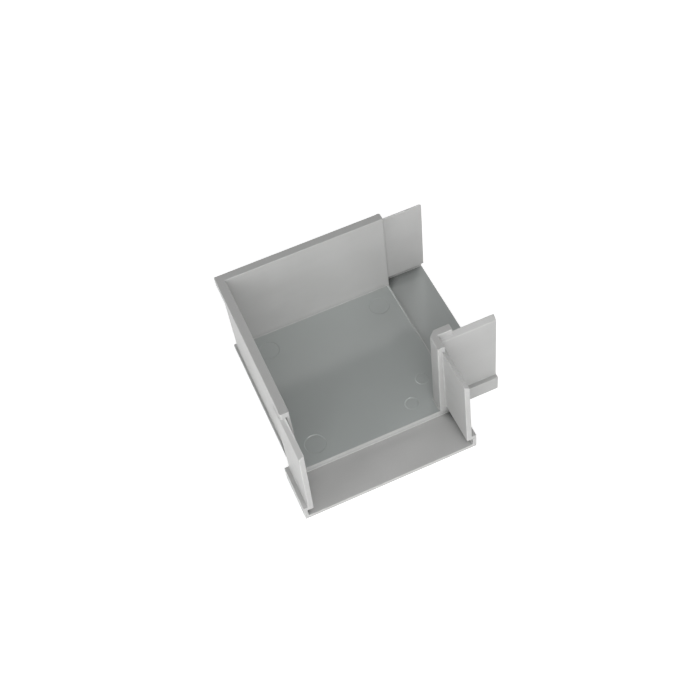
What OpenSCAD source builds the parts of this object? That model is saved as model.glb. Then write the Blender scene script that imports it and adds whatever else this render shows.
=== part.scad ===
// Right-angle joiner for a U-shaped plastic drain channel.
// One moulded piece: a square tray with two lipped walls, an inner post and two sockets that take the
// channel ends. It stands on its base with +Z up. One socket opens towards +X, the other towards -Y.

/* [Channel that plugs in] */
// Inside width of the drain channel
channel_inner_w = 82.5; // [60:0.5:120]
// Thickness of the channel's side walls
channel_wall = 2.2; // [1.6:0.1:3.5]
// Thickness of the channel's floor
channel_floor = 3.4; // [2.5:0.1:5]
// How far the channel's feet stand out past its side walls
channel_foot_w = 4.9; // [4:0.1:7]
// Height of the channel's feet
channel_foot_h = 5.2; // [4:0.1:8]
// Room left round the channel in its socket
fit_gap = 0.3; // [0.1:0.05:0.6]

/* [Tray] */
// Height from the base to the top of the lips
body_h = 65; // [50:1:110]
// Width of the lip along the top of the walls
lip_w = 5; // [4.2:0.1:7]
// Height of the lip's outer side
lip_h = 7; // [4:0.5:12]
// Chamfer along the lip's inner edge
lip_chamfer = 0.3; // [0.2:0.1:1.5]
// Rounding of the outer corner at each end of the lips
lip_end_r = 1.2; // [0.5:0.1:3]
// Thickness of the walls below the lip
wall_t = 3.4; // [2:0.1:4]
// Thickness of the main floor
floor_t = 2.8; // [2:0.1:4]
// How far the base flange stands out from the wall
flange_w = 1.6; // [1:0.1:3]
// Height of the base flange
flange_h = 2; // [1:0.1:4]
// Length over which each wall flares out to the socket's plate
flare_len = 19; // [8:1:30]

/* [Inner post] */
// Length of each leg of the inner post
post_leg = 12.5; // [9:0.5:20]
// Thickness of the post's legs
post_t = 4.2; // [3:0.1:6]
// Chamfer on the post's corner inside the bend
post_chamfer = 3.5; // [1:0.1:4]

/* [Sockets] */
// Depth that the channel slides into each socket
socket_len = 25; // [15:1:45]
// Thickness of the stop at the inner end of each socket
stop_t = 3; // [2:0.1:5]
// Thickness of the socket floor
socket_floor_t = 2.5; // [2:0.1:4]
// Thickness of the socket's side plates
plate_t = 3; // [2:0.1:4]
// How far each plate leans in from its ledge to its top edge
plate_lean = 1.3; // [0:0.1:2]
// How far the side plates end below the lips
plate_drop = 3.5; // [2:0.1:8]
// Height of the bevel on the outer top edge of the plates
plate_bevel = 2.4; // [1:0.1:5]
// Thickness of the ledge that covers each foot slot
ledge_t = 2.7; // [2:0.1:4]
// Thickness of the outer wall of each foot slot
foot_wall = 2.1; // [1.5:0.1:3]
// Rounding of the edges where the tray opens into a socket
throat_r = 0.5; // [0.4:0.1:1.6]

/* [Ejector marks] */
// Diameter of the large marks
large_mark_d = 12.5; // [8:0.5:16]
// Diameter of the small marks beside the post
small_mark_d = 8; // [5:0.5:10]
// Distance from a wall or a floor step to the middle of a mark
mark_gap = 12; // [9:0.5:16]
// How deep the marks are sunk into the floor
mark_depth = 0.25; // [0.1:0.05:0.5]

/* [Hidden] */
$fn = 64;

// Fits of the channel in its socket
plate_gap = channel_wall + fit_gap;
slot_reach = channel_wall + channel_foot_w + fit_gap;
slot_h = channel_foot_h + 2 * fit_gap;

// Levels above the base
floor_top = socket_floor_t + channel_floor + fit_gap;
slot_top = socket_floor_t + slot_h;
foot_h = slot_top + ledge_t;
plate_top = body_h - plate_drop;
bevel_low = plate_top - plate_bevel;
lip_low = body_h - lip_h;

// Distances from the channel's middle plane
bore_half = channel_inner_w / 2;
slot_out = bore_half + slot_reach;
foot_out = slot_out + foot_wall;
function plate_in(z) = bore_half + plate_gap + plate_lean * (plate_top - z) / (plate_top - slot_top);
plate_face = [for (z = [foot_h, bevel_low]) [plate_in(z) + plate_t, z]];

// Distances from the outer corner of the lips
mid_line = lip_w + bore_half;
wall_out = lip_w - wall_t;
post_in = lip_w + channel_inner_w;
lip_run = post_in + post_leg;
stop_at = lip_run - stop_t;
flare_at = stop_at - flare_len;
socket_end = lip_run + socket_len;
inner_corner = max(mid_line + foot_out, stop_at);
near_side = min(mid_line - foot_out, wall_out - flange_w, 0);
centre = (near_side + socket_end) / 2;

// How far cutting shapes run past the faces they cut
past = 1;

// Both arms of the joiner, mirrored on the diagonal through the two corners
module both_arms() {
  children();
  mirror([1, -1, 0]) children();
}

// A profile given for one side of the middle plane, closed by its mirror image
function both_sides(half) =
  concat(half, [for (i = [len(half) - 1 : -1 : 0]) [-half[i].x, half[i].y]]);

// A profile across the channel, drawn out along the arm from one distance to another
module along_arm(from, to, profile) {
  translate([from, mid_line, 0])
    rotate([90, 0, 90])
      linear_extrude(to - from)
        polygon(profile);
}

// Plan of the two outer walls, between an outer and an inner face
module wall_plan(outer, inner) {
  difference() {
    translate([outer, outer])
      square(lip_run - outer);
    translate([inner, inner])
      square(lip_run);
  }
}

// The slope that breaks the inner edge of the lips, mitred in the corner
module lip_edge_cut() {
  slope_low = body_h - lip_chamfer;
  intersection_for (turn = [0, 1]) {
    mirror([turn, -turn, 0])
      rotate([90, 0, 90])
        linear_extrude(lip_run + past)
          polygon([
            [lip_w, slope_low],
            [lip_run + past, slope_low],
            [lip_run + past, body_h + past],
            [lip_w - lip_chamfer - past, body_h + past]
          ]);
  }
}

// The corner taken off the free end of a lip
module lip_end_cut() {
  translate([0, 0, lip_low - past])
    linear_extrude(lip_h + 2 * past)
      difference() {
        translate([lip_run - lip_end_r, -past])
          square([lip_end_r + past, lip_end_r + past]);
        translate([lip_run - lip_end_r, lip_end_r])
          circle(lip_end_r);
      }
}

// Floor, walls, lips and base flange
module tray() {
  translate([wall_out, wall_out, floor_top - floor_t])
    linear_extrude(floor_t)
      difference() {
        square(lip_run - wall_out);
        translate([inner_corner - wall_out, inner_corner - wall_out])
          square(lip_run);
      }
  linear_extrude(lip_low)
    wall_plan(wall_out, lip_w);
  difference() {
    translate([0, 0, lip_low])
      linear_extrude(lip_h)
        wall_plan(0, lip_w);
    lip_edge_cut();
    both_arms() lip_end_cut();
  }
  linear_extrude(flange_h)
    wall_plan(wall_out - flange_w, lip_w);
}

// Post inside the bend, with a solid root between the two sockets
module inner_post() {
  linear_extrude(foot_h)
    polygon([
      [post_in + post_chamfer, post_in],
      [inner_corner, post_in],
      [inner_corner, inner_corner],
      [post_in, inner_corner],
      [post_in, post_in + post_chamfer]
    ]);
  linear_extrude(body_h)
    polygon([
      [post_in + post_chamfer, post_in],
      [lip_run, post_in],
      [lip_run, post_in + post_t],
      [post_in + post_t, post_in + post_t],
      [post_in + post_t, lip_run],
      [post_in, lip_run],
      [post_in, post_in + post_chamfer]
    ]);
}

// Wedge on the outside of a wall that leads out to the leaning plate of the socket
module flare() {
  plate_foot = plate_face[0].x;
  intersection() {
    linear_extrude(min(lip_low, bevel_low))
      polygon([
        [flare_at, wall_out],
        [stop_at, mid_line - plate_foot],
        [stop_at, lip_w],
        [flare_at, lip_w]
      ]);
    along_arm(flare_at, stop_at, both_sides(concat([[plate_foot, 0]], plate_face)));
  }
}

// Socket with its stop: side plates on ledges over the slots for the channel's feet.
// The inner plate runs on past the stop to the post.
module socket() {
  plate_edge = [plate_in(plate_top), plate_top];
  outside = concat([[foot_out, 0], [foot_out, foot_h]], plate_face, [plate_edge]);
  along_arm(stop_at, lip_run, both_sides(concat(outside, [
    [bore_half, plate_top],
    [bore_half, floor_top]
  ])));
  along_arm(stop_at, socket_end, both_sides(concat(outside, [
    [plate_in(slot_top), slot_top],
    [slot_out, slot_top],
    [slot_out, socket_floor_t]
  ])));
  along_arm(post_in + post_t / 2, stop_at, concat(plate_face, [
    plate_edge,
    [bore_half + post_t / 2, plate_top],
    [bore_half + post_t / 2, slot_top],
    [plate_face[0].x, slot_top]
  ]));
}

// Rounding of the three edges where the tray opens into a socket
module throat_cut() {
  intersection() {
    linear_extrude(body_h + past)
      difference() {
        translate([lip_run - throat_r, lip_w - throat_r])
          square([throat_r + past, channel_inner_w + 2 * throat_r]);
        for (y = [lip_w - throat_r, post_in + throat_r])
          translate([lip_run - throat_r, y])
            circle(throat_r);
      }
    translate([0, socket_end, 0])
      rotate([90, 0, 0])
        linear_extrude(2 * socket_end)
          difference() {
            translate([lip_run - throat_r, floor_top - throat_r])
              square([throat_r + past, body_h]);
            translate([lip_run - throat_r, floor_top - throat_r])
              circle(throat_r);
          }
  }
}

// Mark of an ejector pin, sunk into the floor
module ejector_mark(x, y, d) {
  translate([x, y, floor_top - mark_depth])
    cylinder(d = d, h = mark_depth + past);
}

module corner_joiner() {
  wall_side = lip_w + mark_gap;
  step_side = lip_run - mark_gap;
  color("silver")
    rotate([0, 0, -90])
      translate([-centre, -centre, 0]) {
        difference() {
          union() {
            tray();
            inner_post();
            both_arms() {
              flare();
              socket();
            }
          }
          ejector_mark(wall_side, wall_side, large_mark_d);
          both_arms() {
            throat_cut();
            ejector_mark(step_side, wall_side, large_mark_d);
            ejector_mark(step_side, post_in - mark_gap, small_mark_d);
          }
        }
      }
}

corner_joiner();
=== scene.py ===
"""Looks of a moulded corner joiner for drain channels: the shell, its grey plastic and a small studio."""

import math

import bmesh
import bpy
from bpy.props import FloatProperty, FloatVectorProperty, IntProperty, PointerProperty
from bpy.types import Operator, Panel, PropertyGroup
from mathutils import Matrix, Vector


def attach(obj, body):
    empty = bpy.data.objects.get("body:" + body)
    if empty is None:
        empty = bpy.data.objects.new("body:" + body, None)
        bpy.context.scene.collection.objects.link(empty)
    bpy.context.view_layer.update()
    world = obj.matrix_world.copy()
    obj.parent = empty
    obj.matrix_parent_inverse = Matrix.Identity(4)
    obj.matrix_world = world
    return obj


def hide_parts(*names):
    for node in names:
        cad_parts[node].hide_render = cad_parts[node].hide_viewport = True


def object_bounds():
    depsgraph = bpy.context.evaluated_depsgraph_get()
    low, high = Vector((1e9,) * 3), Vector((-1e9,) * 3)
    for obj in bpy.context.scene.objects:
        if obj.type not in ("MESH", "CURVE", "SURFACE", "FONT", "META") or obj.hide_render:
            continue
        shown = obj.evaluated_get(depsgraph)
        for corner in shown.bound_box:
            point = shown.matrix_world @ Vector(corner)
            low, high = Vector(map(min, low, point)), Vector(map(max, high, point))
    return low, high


bl_info = {
    "name": "Drain Channel Corner Joiner",
    "version": (1, 0, 0),
    "blender": (4, 5, 0),
    "location": "View3D > Sidebar > Joiner",
    "description": "Makes the moulded shell of a drain channel corner joiner, its plastic and its studio",
    "category": "Object",
}

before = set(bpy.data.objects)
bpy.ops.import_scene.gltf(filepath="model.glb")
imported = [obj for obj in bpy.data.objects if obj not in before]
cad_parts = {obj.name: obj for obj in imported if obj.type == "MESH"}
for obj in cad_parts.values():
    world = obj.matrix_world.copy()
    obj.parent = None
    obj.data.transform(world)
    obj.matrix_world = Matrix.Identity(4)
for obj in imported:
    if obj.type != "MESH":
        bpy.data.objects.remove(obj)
CAD_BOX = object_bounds()

SOLID = "corner_joiner"
BODY = "root"
FINISH_SLOT = "grey_pvc"

# Outer corner of the lips, from which the ejector marks are measured to the right and to the front
LIP_CORNER = Vector((-0.06025, 0.06025, 0.0))
LARGE_MARKS = ((0.017, 0.017), (0.088, 0.017), (0.017, 0.088))
SMALL_MARKS = ((0.088, 0.0755), (0.0755, 0.088))
# Longest of the short edges round a mark
MARK_EDGE = 0.0015

# Levels above the base, and where the right socket starts
FLOOR_TOP = 0.0062
MARK_FLOOR = 0.00595
SOCKET_FLOOR = 0.0025
RIGHT_SOCKET = 0.040
# How much of the tray floor's smooth finish, painted shade and painted cool reflection the right socket's
# floor has
SOCKET_SHARE = 0.8

# Inner ends of the narrow ledges where the flares stand out under the lips,
# and how far they are raised to a slope
LEDGE_ENDS = (Vector((-0.06025, -0.03675, 0.058)), Vector((0.03675, 0.06025, 0.058)))
LEDGE_RISE = 0.0013

# Corners closer than this are one corner
ONE_CORNER = 1e-6
# How far a corner or a level may lie from where it was drawn
SAME_PLACE = 1e-5
SAME_LEVEL = 5e-5
# Upward part of the normal from which a face counts as level
LEVEL = 0.99

# Turns between two faces: in one flat face, in one smooth face, and the least of a curve's steps
FLAT_TURN = math.radians(0.5)
SMOOTH_TURN = math.radians(1.0)
CURVE_TURN = math.radians(15.0)
# Corners of a face sharper than this are thin tips
THIN_TIP = math.radians(35.0)
# In radii of the edge rounding: the least width of a face beside it, and how short of a fine curve it stops
LEAST_WIDTH = 2.2
STOP_SHORT = 3.0

# Scales of the plastic's patterns, in repeats per metre
CLOUD_SCALE = 26.0
FLOW_SCALE = (14.0, 14.0, 70.0)
RUB_AND_HIGHLIGHT_SCALE = 160.0
PATCH_SCALE = 55.0
SINK_SCALE = 75.0
GRAIN_SCALE = 1500.0
# How far round it a place must be closed in to get the painted shade of slots and corners
SHADE_REACH = 0.008

# Distance of the lamps, then each lamp's name, azimuth and elevation in degrees, size,
# and whether the plastic mirrors it
LAMP_DISTANCE = 0.8
LAMPS = (
    ("front", -13.0, 22.0, 0.68, True),
    ("high", 14.0, 50.0, 0.5, True),
    ("left", -75.0, 15.0, 0.5, True),
    ("back", 140.0, 12.0, 0.4, False),
)
# Half the width of the studio floor, and where its own glow starts to rise and ends
FLOOR_REACH = 4.0
GLOW_FROM, GLOW_TO = 0.15, 0.7
NEAR_GLOW, FAR_GLOW = 0.70, 1.0
# Width of the camera's sensor, in millimetres
SENSOR = 36.0


class ShellSettings(PropertyGroup):
    """Sizes of the moulded shell"""

    edge_round: FloatProperty(
        name="Edge Rounding",
        description="Radius that breaks the moulded edges",
        default=0.0004,
        min=0.0001,
        max=0.0008,
        precision=5,
        subtype="DISTANCE",
        unit="LENGTH",
    )
    edge_steps: IntProperty(
        name="Edge Steps",
        description="Faces across each rounded edge",
        default=3,
        min=1,
        max=5,
    )
    rounded_from: FloatProperty(
        name="Rounded From",
        description="Edges that turn more than this are rounded",
        default=math.radians(40.0),
        min=math.radians(20.0),
        max=math.radians(80.0),
        subtype="ANGLE",
        unit="ROTATION",
    )
    large_mark: FloatProperty(
        name="Large Mark Radius",
        description="Radius of the ejector marks in the corners of the tray",
        default=0.00625,
        min=0.004,
        max=0.008,
        precision=5,
        subtype="DISTANCE",
        unit="LENGTH",
    )
    small_mark: FloatProperty(
        name="Small Mark Radius",
        description="Radius of the ejector marks beside the post",
        default=0.004,
        min=0.0025,
        max=0.005,
        precision=5,
        subtype="DISTANCE",
        unit="LENGTH",
    )
    mark_slope: FloatProperty(
        name="Mark Slope",
        description="Width of the slope that leads down into an ejector mark",
        default=0.0005,
        min=0.0001,
        max=0.001,
        precision=5,
        subtype="DISTANCE",
        unit="LENGTH",
    )


class PlasticSettings(PropertyGroup):
    """Colours and finish of the grey plastic"""

    body_grey: FloatVectorProperty(
        name="Body Grey",
        description="Main colour of the plastic",
        default=(0.525, 0.525, 0.520),
        min=0.0,
        max=1.0,
        subtype="COLOR",
    )
    cloud_grey: FloatVectorProperty(
        name="Cloud Grey",
        description="Colour of the faint clouds that the melt leaves",
        default=(0.490, 0.492, 0.485),
        min=0.0,
        max=1.0,
        subtype="COLOR",
    )
    # Also lightens the rounded edges, for wear and as a painted highlight
    edge_grey: FloatVectorProperty(
        name="Edge Grey",
        # Paler colour of the flow lines and of the rounded edges, which it lightens for wear and as a
        # painted highlight
        description="Colour of rubbed edges",
        default=(0.600, 0.604, 0.594),
        min=0.0,
        max=1.0,
        subtype="COLOR",
    )
    # Painted shade and painted cool reflection of the floor
    floor_reflection_grey: FloatVectorProperty(
        name="Floor Grey",
        # Colour of the tray's floor, darker and cooler than the walls: painted shade and a painted cool
        # reflection
        description="Colour of the tray's floor, which looks a little cooler than the walls",
        default=(0.465, 0.494, 0.485),
        min=0.0,
        max=1.0,
        subtype="COLOR",
    )
    # Painted shade for the slots and corners
    crevice_shade_grey: FloatVectorProperty(
        # Shade Grey
        name="Dust Grey",
        # Colour of the painted shade deep in the slots and corners
        description="Colour of the dust that settles deep in the slots and corners",
        default=(0.040, 0.042, 0.040),
        min=0.0,
        max=1.0,
        subtype="COLOR",
    )
    satin: FloatProperty(
        name="Satin Roughness",
        description="Roughness of the walls",
        default=0.42,
        min=0.05,
        max=1.0,
        subtype="FACTOR",
    )
    polish: FloatProperty(
        name="Floor Roughness",
        description="Roughness of the floor, which the tool leaves smoother",
        default=0.16,
        min=0.05,
        max=1.0,
        subtype="FACTOR",
    )
    gloss_index: FloatProperty(
        name="Floor Gloss Index",
        description="Refractive index of the floor's glossy skin, which sets how strongly it mirrors",
        default=1.9,
        min=1.3,
        max=2.5,
    )


class StudioSettings(PropertyGroup):
    """Camera, lamps and floor"""

    azimuth: FloatProperty(
        name="Camera Azimuth",
        description="Turn of the camera round the joiner, from straight in front",
        default=math.radians(-16.395),
        subtype="ANGLE",
        unit="ROTATION",
    )
    elevation: FloatProperty(
        name="Camera Elevation",
        description="Height of the camera above the horizon",
        default=math.radians(54.126),
        subtype="ANGLE",
        unit="ROTATION",
    )
    roll: FloatProperty(
        name="Camera Roll",
        description="Turn of the camera about its own line of sight",
        default=math.radians(-8.831),
        subtype="ANGLE",
        unit="ROTATION",
    )
    distance: FloatProperty(
        name="Camera Distance",
        description="Distance from the camera to the point it looks at",
        default=0.628208,
        min=0.2,
        precision=4,
        subtype="DISTANCE",
        unit="LENGTH",
    )
    look_at: FloatVectorProperty(
        name="Look At",
        description="Point in the middle of the picture",
        default=(-0.003643, 0.012086, 0.020),
        precision=4,
        subtype="TRANSLATION",
        unit="LENGTH",
    )
    lens: FloatProperty(
        name="Lens",
        description="Focal length, in millimetres on a 36 mm sensor",
        default=57.151,
        min=20.0,
        max=200.0,
    )
    front_power: FloatProperty(
        name="Front Power",
        description="Power of the soft lamp in front, in watts",
        default=4.0,
        min=0.0,
    )
    high_power: FloatProperty(
        name="High Power",
        description="Power of the soft lamp above the camera, in watts",
        default=1.25,
        min=0.0,
    )
    left_power: FloatProperty(
        name="Left Power",
        description="Power of the soft lamp on the left, in watts",
        default=2.6,
        min=0.0,
    )
    back_power: FloatProperty(
        name="Back Power",
        description="Power of the soft lamp behind, in watts",
        default=3.4,
        min=0.0,
    )
    ambient: FloatProperty(
        name="Ambient",
        description="Strength of the light from all round, near the horizon",
        default=0.26,
        min=0.0,
    )
    overhead: FloatProperty(
        name="Overhead",
        description="Strength of the dimmer light from above",
        default=0.12,
        min=0.0,
    )
    floor_colour: FloatVectorProperty(
        name="Floor Colour",
        description="Colour of the studio floor",
        default=(0.70, 0.70, 0.70),
        min=0.0,
        max=1.0,
        subtype="COLOR",
    )


def add_node(tree, kind, place, **settings):
    """A new node at a place in the tree's layout, with its settings."""
    made = tree.nodes.new(kind)
    made.location = place
    for name, value in settings.items():
        setattr(made, name, value)
    return made


def fill_inputs(target, **values):
    """Sets a node's inputs by name, with _ for a space, to numbers or to other nodes' outputs."""
    for name, value in values.items():
        socket = target.inputs[name.replace("_", " ")]
        if isinstance(value, bpy.types.NodeSocket):
            target.id_data.links.new(value, socket)
        else:
            socket.default_value = value


def noise(tree, place, where, scale, detail=2.0):
    """A noise pattern on the given coordinates."""
    made = add_node(tree, "ShaderNodeTexNoise", place)
    fill_inputs(made, Vector=where, Scale=scale, Detail=detail)
    return made.outputs["Fac"]


def remap(tree, place, value, low, high, to_low=0.0, to_high=1.0):
    """A value taken from one range to another and held inside it."""
    made = add_node(tree, "ShaderNodeMapRange", place, clamp=True)
    fill_inputs(made, Value=value, From_Min=low, From_Max=high, To_Min=to_low, To_Max=to_high)
    return made.outputs["Result"]


def combine(tree, place, operation, first, second):
    """Two values put together by one sum."""
    made = add_node(tree, "ShaderNodeMath", place, operation=operation)
    for socket, value in zip(made.inputs, (first, second)):
        if isinstance(value, bpy.types.NodeSocket):
            tree.links.new(value, socket)
        else:
            socket.default_value = value
    return made.outputs["Value"]


def tint(tree, place, share, first, second):
    """One colour mixed into another, by the colour sockets, which follow those for numbers and vectors."""
    made = add_node(tree, "ShaderNodeMix", place, data_type="RGBA")
    factor, a, b = made.inputs[0], made.inputs[6], made.inputs[7]
    tree.links.new(share, factor)
    for socket, value in ((a, first), (b, second)):
        if isinstance(value, bpy.types.NodeSocket):
            tree.links.new(value, socket)
        else:
            socket.default_value = (*value, 1.0)
    return made.outputs[2]


def stretched(tree, place, where, scale):
    """Coordinates stretched along the axes."""
    made = add_node(tree, "ShaderNodeMapping", place)
    fill_inputs(made, Vector=where, Scale=scale)
    return made.outputs["Vector"]


def face_value(tree, place, name):
    """A value that the shell's faces carry."""
    return add_node(tree, "ShaderNodeAttribute", place, attribute_name=name).outputs["Fac"]


def moulded_plastic(plastic):
    """Satin grey plastic with melt clouds, flow lines, lightened edges for wear and a painted highlight,
    painted shade in the slots and corners, and a smoother floor with painted shade and a painted cool
    reflection.
    """
    material = bpy.data.materials.new(FINISH_SLOT)
    material.use_nodes = True
    tree = material.node_tree
    tree.nodes.clear()
    where = add_node(tree, "ShaderNodeTexCoord", (-1500, 0)).outputs["Object"]

    clouds = noise(tree, (-1270, 420), where, CLOUD_SCALE, 4.0)
    clouds = remap(tree, (-1050, 420), clouds, 0.35, 0.65)
    colour = tint(tree, (-780, 420), clouds, plastic.body_grey, plastic.cloud_grey)

    flow = noise(tree, (-1270, 700), stretched(tree, (-1490, 700), where, FLOW_SCALE), 1.0, 3.0)
    flow = remap(tree, (-1050, 700), flow, 0.5, 0.8, 0.0, 0.2)
    colour = tint(tree, (-600, 500), flow, colour, plastic.edge_grey)

    on_floor = face_value(tree, (-780, -260), "tray_floor")
    # The floor's darker, cooler grey is painted shade and a painted cool reflection
    colour = tint(tree, (-500, 300), on_floor, colour, plastic.floor_reflection_grey)

    # The rounded edges are lightened in patches: wear, and a painted highlight along each edge
    rubbed_and_highlit = remap(tree, (-1050, 120), noise(tree, (-1270, 20), where, RUB_AND_HIGHLIGHT_SCALE), 0.3, 0.7)
    rubbed_and_highlit = combine(tree, (-780, 180), "MULTIPLY", face_value(tree, (-1270, 180), "edge_wear"), rubbed_and_highlit)
    colour = tint(tree, (-240, 460), rubbed_and_highlit, colour, plastic.edge_grey)

    # Painted shade: the colour darkens to near black where the walls close a place in, as in the slots and
    # corners, and not on the open floor of the tray
    closed = add_node(tree, "ShaderNodeAmbientOcclusion", (-1270, -160), samples=8, only_local=True)
    fill_inputs(closed, Distance=SHADE_REACH)
    deep = remap(tree, (-1050, -160), closed.outputs["AO"], 0.2, 0.6, 1.0, 0.0)
    kept = remap(tree, (-600, -60), on_floor, SOCKET_SHARE, 1.0, 1.0, 0.0)
    painted_shade = combine(tree, (-420, -60), "MULTIPLY", deep, kept)
    colour = tint(tree, (-20, 460), painted_shade, colour, plastic.crevice_shade_grey)

    base = remap(tree, (-600, -260), on_floor, 0.0, 1.0, plastic.satin, plastic.polish)
    patches = noise(tree, (-1050, -660), where, PATCH_SCALE, 5.0)
    patches = remap(tree, (-780, -520), patches, 0.3, 0.7, -0.035, 0.035)
    rough = combine(tree, (-420, -300), "ADD", base, patches)

    sink = add_node(tree, "ShaderNodeBump", (-240, -700))
    sink_marks = noise(tree, (-600, -900), where, SINK_SCALE, 1.0)
    fill_inputs(sink, Height=sink_marks, Strength=0.06, Distance=0.0006)
    grain = add_node(tree, "ShaderNodeBump", (-20, -700))
    pits = noise(tree, (-420, -1000), where, GRAIN_SCALE, 2.0)
    fill_inputs(grain, Height=pits, Strength=0.1, Distance=0.00006, Normal=sink.outputs["Normal"])

    shader = add_node(tree, "ShaderNodeBsdfPrincipled", (200, 200))
    fill_inputs(shader, Base_Color=colour, Roughness=rough, Normal=grain.outputs["Normal"])
    fill_inputs(shader, Coat_Weight=on_floor, Coat_Roughness=plastic.polish, Coat_IOR=plastic.gloss_index)
    out = add_node(tree, "ShaderNodeOutputMaterial", (520, 200))
    tree.links.new(shader.outputs["BSDF"], out.inputs["Surface"])
    return material


def merged_solid():
    """The CAD solid as one closed mesh whose flat faces are whole."""
    bm = bmesh.new()
    bm.from_mesh(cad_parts[SOLID].data)
    bmesh.ops.remove_doubles(bm, verts=bm.verts, dist=ONE_CORNER)
    bmesh.ops.dissolve_limit(
        bm,
        angle_limit=FLAT_TURN,
        use_dissolve_boundaries=False,
        verts=bm.verts,
        edges=bm.edges,
        delimit=set(),
    )
    if any(not edge.is_manifold for edge in bm.edges):
        raise RuntimeError("the CAD solid is not closed after its triangles are merged")
    return bm


def slope_ledges(bm):
    """Turns the narrow ledges under the lips into slopes, as the moulder leaves no sharp pocket there."""
    ends = [vert for vert in bm.verts if any((vert.co - end).length < SAME_PLACE for end in LEDGE_ENDS)]
    if len(ends) != len(LEDGE_ENDS):
        raise RuntimeError("the ledges under the lips are not where they were drawn")
    for vert in ends:
        vert.co.z += LEDGE_RISE


def at_floor(height):
    """True for a height between the bottom of the ejector marks and the top of the tray's floor."""
    return MARK_FLOOR - SAME_LEVEL < height < FLOOR_TOP + SAME_LEVEL


def on_mark(edge):
    """True for the short edges round an ejector mark."""
    return all(at_floor(vert.co.z) for vert in edge.verts) and edge.calc_length() < MARK_EDGE


def wide_enough(face, shell):
    """True for a face that has room for a rounded edge."""
    return 2.0 * face.calc_area() > LEAST_WIDTH * shell.edge_round * face.calc_perimeter()


def edges_to_round(bm, shell):
    """The moulded edges, cut back a little where they run into fine curves or into a thin tip."""
    least = STOP_SHORT * shell.edge_round
    turned = {
        edge
        for edge in bm.edges
        if edge.calc_face_angle(0.0) > shell.rounded_from
        and not on_mark(edge)
        and all(wide_enough(face, shell) for face in edge.link_faces)
    }
    cuts = {}
    for vert in bm.verts:
        if any(edge.calc_length() < least for edge in vert.link_edges):
            cuts.update({(edge, vert): least for edge in vert.link_edges if edge in turned})
    for face in bm.faces:
        for loop in face.loops:
            sides = (loop.edge, loop.link_loop_prev.edge)
            if turned.issuperset(sides) and loop.calc_angle() < THIN_TIP:
                cuts.update({(edge, loop.vert): least / math.sin(loop.calc_angle()) for edge in sides})
    kept = []
    for edge in turned:
        ends = [(vert, cuts.get((edge, vert), 0.0)) for vert in edge.verts]
        if edge.calc_length() - sum(cut for _, cut in ends) > least:
            kept.append((edge, ends))
    for edge, ends in kept:
        for vert, cut in ends:
            if cut:
                bmesh.utils.edge_split(edge, vert, cut / edge.calc_length())
    return [edge for edge, _ in kept]


def floor_finish(face):
    """How much of the floor's smooth finish, painted shade and painted cool reflection a face has: all in
    the tray, most in the right socket.
    """
    middle = face.calc_center_median()
    if face.normal.z < LEVEL:
        return 0.0
    if at_floor(middle.z):
        return 1.0
    if abs(middle.z - SOCKET_FLOOR) < SAME_LEVEL and middle.x > RIGHT_SOCKET:
        return SOCKET_SHARE
    return 0.0


def round_edges(bm, shell):
    """Rounds the moulded edges, marks the new faces for wear and a painted highlight, finds the floor and
    keeps slight creases.
    """
    # Faces that get the lighter edge colour: wear and a painted highlight
    wear_and_highlight = bm.faces.layers.float.new("edge_wear")
    floor = bm.faces.layers.float.new("tray_floor")
    made = bmesh.ops.bevel(
        bm,
        geom=edges_to_round(bm, shell),
        offset=shell.edge_round,
        offset_type="OFFSET",
        segments=shell.edge_steps,
        profile=0.5,
        affect="EDGES",
        clamp_overlap=False,
        miter_outer="SHARP",
        miter_inner="SHARP",
    )
    rounded = set(made["faces"])
    bm.normal_update()
    for face in bm.faces:
        face[wear_and_highlight] = face in rounded
        face[floor] = floor_finish(face)
        face.smooth = True
    for edge in bm.edges:
        if rounded.isdisjoint(edge.link_faces):
            turn = edge.calc_face_angle(0.0)
            edge.smooth = turn < SMOOTH_TURN or CURVE_TURN < turn < shell.rounded_from


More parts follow.
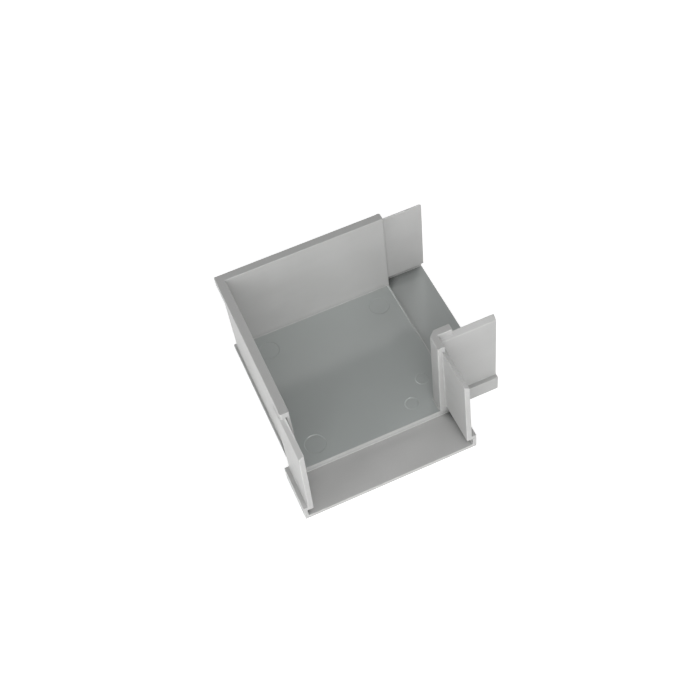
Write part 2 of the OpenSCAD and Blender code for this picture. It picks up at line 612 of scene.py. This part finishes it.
def slope_tree():
    """Geometry nodes that lay a sloped edge round every ejector mark."""
    tree = bpy.data.node_groups.new("mark_slopes", "GeometryNodeTree")
    tree.interface.new_socket("Marks", in_out="INPUT", socket_type="NodeSocketGeometry")
    tree.interface.new_socket("Slope Width", in_out="INPUT", socket_type="NodeSocketFloat")
    tree.interface.new_socket("Depth", in_out="INPUT", socket_type="NodeSocketFloat")
    tree.interface.new_socket("Plastic", in_out="INPUT", socket_type="NodeSocketMaterial")
    tree.interface.new_socket("Slopes", in_out="OUTPUT", socket_type="NodeSocketGeometry")
    given = add_node(tree, "NodeGroupInput", (-1100, 0))
    reach = add_node(tree, "GeometryNodeInputNamedAttribute", (-900, -160), data_type="FLOAT")
    fill_inputs(reach, Name="mark_radius")
    ring = add_node(tree, "GeometryNodeCurvePrimitiveCircle", (-900, 260), mode="RADIUS")
    fill_inputs(ring, Resolution=96, Radius=1.0)
    placed = add_node(tree, "GeometryNodeInstanceOnPoints", (-620, 0))
    fill_inputs(
        placed,
        Points=given.outputs["Marks"],
        Instance=ring.outputs["Curve"],
        Scale=reach.outputs["Attribute"],
    )
    real = add_node(tree, "GeometryNodeRealizeInstances", (-400, 0))
    fill_inputs(real, Geometry=placed.outputs["Instances"])
    diamond = add_node(tree, "GeometryNodeCurvePrimitiveCircle", (-620, -260), mode="RADIUS")
    fill_inputs(diamond, Resolution=4, Radius=1.0)
    reaches = add_node(tree, "ShaderNodeCombineXYZ", (-620, -480))
    fill_inputs(reaches, X=given.outputs["Slope Width"], Y=given.outputs["Depth"], Z=1.0)
    section = add_node(tree, "GeometryNodeTransform", (-400, -260))
    fill_inputs(section, Geometry=diamond.outputs["Curve"], Scale=reaches.outputs["Vector"])
    swept = add_node(tree, "GeometryNodeCurveToMesh", (-180, 0))
    fill_inputs(swept, Curve=real.outputs["Geometry"], Profile_Curve=section.outputs["Geometry"])
    coated = add_node(tree, "GeometryNodeSetMaterial", (40, 0))
    fill_inputs(coated, Geometry=swept.outputs["Mesh"], Material=given.outputs["Plastic"])
    out = add_node(tree, "NodeGroupOutput", (260, 0))
    fill_inputs(out, Slopes=coated.outputs["Geometry"])
    return tree


def mark_slopes(shell, material):
    """The sloped edges of all ejector marks as one plain mesh."""
    sizes = [shell.large_mark for _ in LARGE_MARKS] + [shell.small_mark for _ in SMALL_MARKS]
    places = [LIP_CORNER + Vector((right, -front, MARK_FLOOR)) for right, front in LARGE_MARKS + SMALL_MARKS]
    points = bpy.data.meshes.new("ejector_marks")
    points.from_pydata(places, [], [])
    radius = points.attributes.new("mark_radius", "FLOAT", "POINT")
    radius.data.foreach_set("value", sizes)
    holder = bpy.data.objects.new("ejector_marks", points)
    bpy.context.scene.collection.objects.link(holder)
    maker = holder.modifiers.new("mark_slopes", "NODES")
    maker.node_group = slope_tree()
    sockets = {item.name: item.identifier for item in maker.node_group.interface.items_tree}
    maker[sockets["Slope Width"]] = shell.mark_slope
    maker[sockets["Depth"]] = FLOOR_TOP - MARK_FLOOR
    maker[sockets["Plastic"]] = material
    seen = holder.evaluated_get(bpy.context.evaluated_depsgraph_get())
    slopes = bpy.data.meshes.new_from_object(seen)
    slopes.attributes.remove(slopes.attributes["mark_radius"])
    holder.modifiers.remove(maker)
    bpy.data.objects.remove(holder)
    return slopes


class JOINER_OT_mould_shell(Operator):
    """Make the moulded shell from the CAD solid, with rounded edges and sloped ejector marks"""

    bl_idname = "joiner.mould_shell"
    bl_label = "Mould Shell"
    bl_options = {"REGISTER", "UNDO"}

    def execute(self, context):
        shell = context.scene.joiner_shell
        material = moulded_plastic(context.scene.joiner_plastic)
        bm = merged_solid()
        slope_ledges(bm)
        round_edges(bm, shell)
        for face in bm.faces:
            face.tag = True
        bm.from_mesh(mark_slopes(shell, material))
        slopes = [face for face in bm.faces if not face.tag]
        bmesh.ops.recalc_face_normals(bm, faces=slopes)
        floor = bm.faces.layers.float["tray_floor"]
        # The mark slopes share the floor's finish, with its painted shade and painted cool reflection
        for face in slopes:
            face[floor] = 1.0
            face.smooth = True
            for edge in face.edges:
                edge.smooth = edge.calc_face_angle(0.0) < shell.rounded_from
        mesh = bpy.data.meshes.new("joiner_shell")
        bm.to_mesh(mesh)
        bm.free()
        mesh.materials.clear()
        mesh.materials.append(material)
        piece = bpy.data.objects.new("joiner_shell", mesh)
        context.scene.collection.objects.link(piece)
        evened = piece.modifiers.new("even_normals", "WEIGHTED_NORMAL")
        evened.keep_sharp = True
        plain = bpy.data.meshes.new_from_object(piece.evaluated_get(context.evaluated_depsgraph_get()))
        piece.modifiers.remove(evened)
        piece.data = plain
        plain.name = "joiner_shell"
        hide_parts(SOLID)
        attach(piece, BODY)
        return {"FINISHED"}


def seen_rays(tree, place):
    """One for rays that show a surface, straight or mirrored, and none for rays that only light."""
    across, up = place
    path = add_node(tree, "ShaderNodeLightPath", place).outputs
    glossy, through = path["Is Glossy Ray"], path["Is Transmission Ray"]
    mirrored = combine(tree, (across + 200, up), "MAXIMUM", glossy, through)
    return combine(tree, (across + 380, up), "MAXIMUM", path["Is Camera Ray"], mirrored)


def studio_floor(studio):
    """A pale floor that keeps the joiner's shadow and turns white farther out."""
    mesh = bpy.data.meshes.new("studio_floor")
    sides = ((-1, -1), (1, -1), (1, 1), (-1, 1))
    mesh.from_pydata([(FLOOR_REACH * x, FLOOR_REACH * y, 0.0) for x, y in sides], [], [(0, 1, 2, 3)])
    floor = bpy.data.objects.new("studio_floor", mesh)
    bpy.context.scene.collection.objects.link(floor)
    material = bpy.data.materials.new("pale_floor")
    material.use_nodes = True
    tree = material.node_tree
    tree.nodes.clear()
    paint = add_node(tree, "ShaderNodeBsdfDiffuse", (-200, 100))
    fill_inputs(paint, Color=(*studio.floor_colour, 1.0))
    away = add_node(tree, "ShaderNodeVectorMath", (-600, -200), operation="LENGTH")
    fill_inputs(away, Vector=add_node(tree, "ShaderNodeTexCoord", (-800, -200)).outputs["Object"])
    rise = remap(tree, (-400, -200), away.outputs["Value"], GLOW_FROM, GLOW_TO, NEAR_GLOW, FAR_GLOW)
    glow = add_node(tree, "ShaderNodeEmission", (-200, -100))
    fill_inputs(glow, Strength=rise)
    both = add_node(tree, "ShaderNodeAddShader", (0, 0))
    tree.links.new(paint.outputs["BSDF"], both.inputs[0])
    tree.links.new(glow.outputs["Emission"], both.inputs[1])
    choice = add_node(tree, "ShaderNodeMixShader", (200, 100))
    tree.links.new(seen_rays(tree, (-800, 300)), choice.inputs[0])
    tree.links.new(paint.outputs["BSDF"], choice.inputs[1])
    tree.links.new(both.outputs["Shader"], choice.inputs[2])
    out = add_node(tree, "ShaderNodeOutputMaterial", (400, 100))
    tree.links.new(choice.outputs["Shader"], out.inputs["Surface"])
    mesh.materials.append(material)


def studio_world(studio):
    """Soft light from all round, dimmer overhead, which looks white near the horizon where it is seen."""
    world = bpy.data.worlds.new("studio_world")
    world.use_nodes = True
    tree = world.node_tree
    tree.nodes.clear()
    way = add_node(tree, "ShaderNodeSeparateXYZ", (-1000, -300))
    fill_inputs(way, Vector=add_node(tree, "ShaderNodeTexCoord", (-1200, -300)).outputs["Generated"])
    seen = remap(tree, (-600, -300), way.outputs["Z"], 0.3, 0.6, 1.0, studio.overhead)
    lit = remap(tree, (-600, -560), way.outputs["Z"], 0.1, 0.8, studio.ambient, studio.overhead)
    sky = add_node(tree, "ShaderNodeBackground", (0, 0))
    fill_inputs(sky, Strength=remap(tree, (-200, 0), seen_rays(tree, (-800, 0)), 0.0, 1.0, lit, seen))
    sky.inputs["Color"].default_value = (1.0, 1.0, 1.0, 1.0)
    out = add_node(tree, "ShaderNodeOutputWorld", (200, 0))
    tree.links.new(sky.outputs["Background"], out.inputs["Surface"])
    return world


def turned_to(azimuth, elevation, roll=0.0):
    """How something stands that looks at the middle from an azimuth and an elevation."""
    return (
        Matrix.Rotation(azimuth, 3, "Z")
        @ Matrix.Rotation(math.pi / 2 - elevation, 3, "X")
        @ Matrix.Rotation(roll, 3, "Z")
    )


def place_looking(item, middle, distance, stand):
    """Puts a camera or lamp at a distance from the point it looks at."""
    item.matrix_world = Matrix.Translation(middle + stand @ Vector((0.0, 0.0, distance))) @ stand.to_4x4()


def soft_lamp(name, azimuth, elevation, size, power):
    """A square soft lamp that faces the joiner."""
    data = bpy.data.lights.new(name, "AREA")
    data.shape = "SQUARE"
    data.size = size
    data.energy = power
    lamp = bpy.data.objects.new(name, data)
    bpy.context.scene.collection.objects.link(lamp)
    middle = (CAD_BOX[0] + CAD_BOX[1]) / 2
    place_looking(lamp, middle, LAMP_DISTANCE, turned_to(math.radians(azimuth), math.radians(elevation)))
    return lamp


class JOINER_OT_set_studio(Operator):
    """Set up the floor, the lamps and the camera"""

    bl_idname = "joiner.set_studio"
    bl_label = "Set Studio"
    bl_options = {"REGISTER", "UNDO"}

    def execute(self, context):
        studio = context.scene.joiner_studio
        studio_floor(studio)
        context.scene.world = studio_world(studio)
        for name, azimuth, elevation, size, mirrored in LAMPS:
            power = getattr(studio, name + "_power")
            lamp = soft_lamp(name + "_lamp", azimuth, elevation, size, power)
            lamp.visible_glossy = mirrored
        lens = bpy.data.cameras.new("photo_camera")
        lens.sensor_width = SENSOR
        lens.lens = studio.lens
        lens.clip_start = 0.01
        camera = bpy.data.objects.new("photo_camera", lens)
        context.scene.collection.objects.link(camera)
        stand = turned_to(studio.azimuth, studio.elevation, studio.roll)
        place_looking(camera, Vector(studio.look_at), studio.distance, stand)
        context.scene.camera = camera
        context.scene.view_settings.view_transform = "Standard"
        return {"FINISHED"}


class JOINER_PT_sidebar(Panel):
    """Sizes, finish and studio of the corner joiner"""

    bl_idname = "JOINER_PT_sidebar"
    bl_label = "Corner Joiner"
    bl_space_type = "VIEW_3D"
    bl_region_type = "UI"
    bl_category = "Joiner"

    def draw(self, context):
        for heading, group, operators in (
            ("Shell", context.scene.joiner_shell, (JOINER_OT_mould_shell,)),
            ("Plastic", context.scene.joiner_plastic, ()),
            ("Studio", context.scene.joiner_studio, (JOINER_OT_set_studio,)),
        ):
            box = self.layout.box()
            box.label(text=heading)
            for name in group.bl_rna.properties.keys():
                if name not in {"rna_type", "name"}:
                    box.prop(group, name)
            for operator in operators:
                box.operator(operator.bl_idname)


CLASSES = (
    ShellSettings,
    PlasticSettings,
    StudioSettings,
    JOINER_OT_mould_shell,
    JOINER_OT_set_studio,
    JOINER_PT_sidebar,
)


def register():
    for cls in CLASSES:
        bpy.utils.register_class(cls)
    bpy.types.Scene.joiner_shell = PointerProperty(type=ShellSettings)
    bpy.types.Scene.joiner_plastic = PointerProperty(type=PlasticSettings)
    bpy.types.Scene.joiner_studio = PointerProperty(type=StudioSettings)


def unregister():
    del bpy.types.Scene.joiner_studio
    del bpy.types.Scene.joiner_plastic
    del bpy.types.Scene.joiner_shell
    for cls in reversed(CLASSES):
        bpy.utils.unregister_class(cls)


def main():
    register()
    bpy.ops.joiner.mould_shell()
    bpy.ops.joiner.set_studio()


if __name__ == "__main__":
    main()
